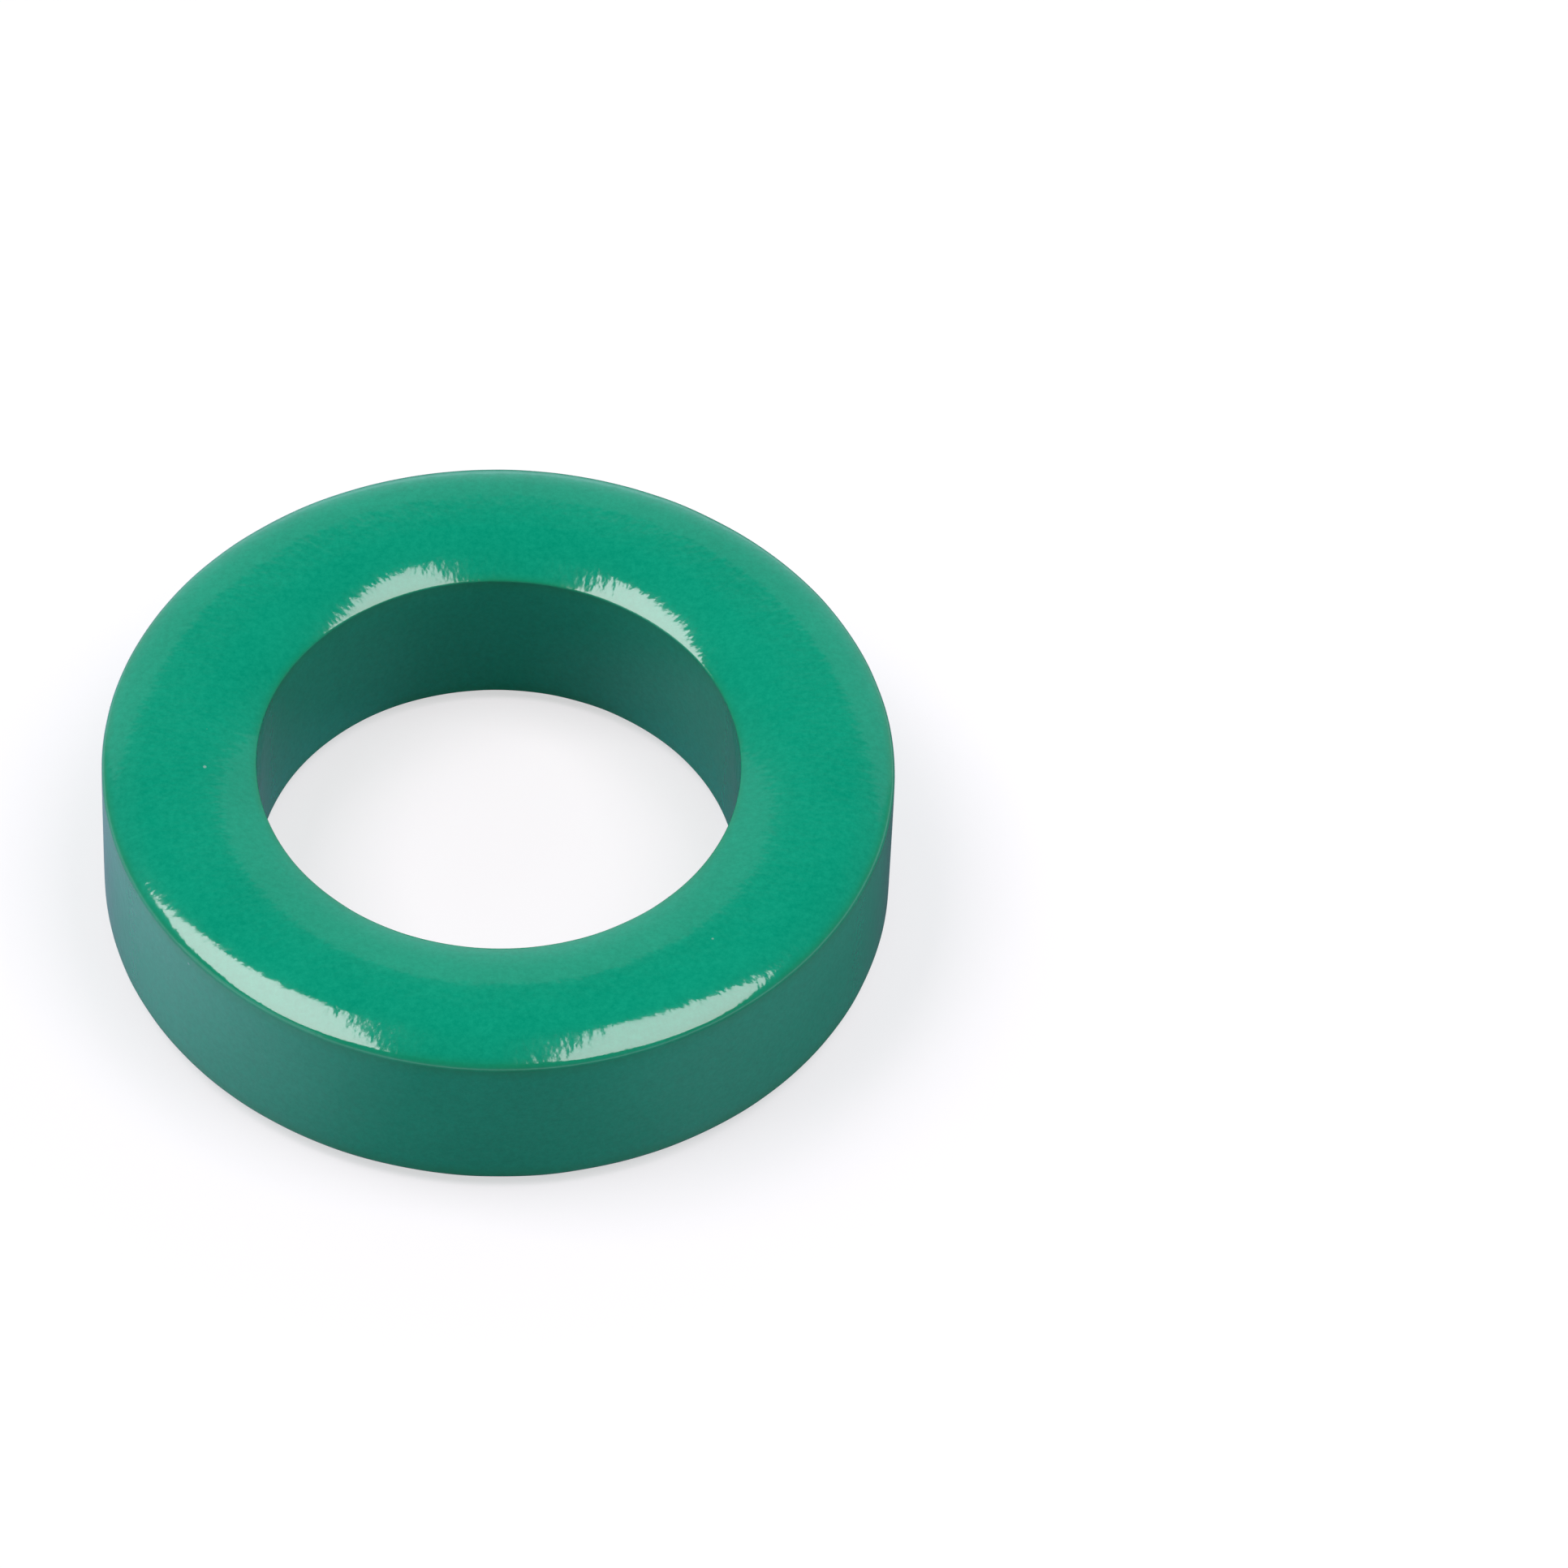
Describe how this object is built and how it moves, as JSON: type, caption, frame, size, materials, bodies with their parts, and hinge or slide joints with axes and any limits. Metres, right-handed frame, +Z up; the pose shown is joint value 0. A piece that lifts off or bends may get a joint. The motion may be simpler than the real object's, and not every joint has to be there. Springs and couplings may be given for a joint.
{
  "type": "ferrite toroid core",
  "caption": "Flat ring of ferrite with a round bore, straight walls, slightly domed faces and a glossy coat, for winding inductors.",
  "frame": {"origin": "bottom of the ring's axis, level with the lower land that it rests on", "axes": "+Z up along the bore's axis; the ring is alike all round, so +X and +Y are free"},
  "size_m": [0.0313, 0.0312, 0.0078],
  "materials": {
    "green_coat": "glossy green epoxy coat over sintered ferrite, with a fine orange peel"
  },
  "bodies": {
    "root": {"toroid_core": "green_coat"}
  },
  "joints": []
}
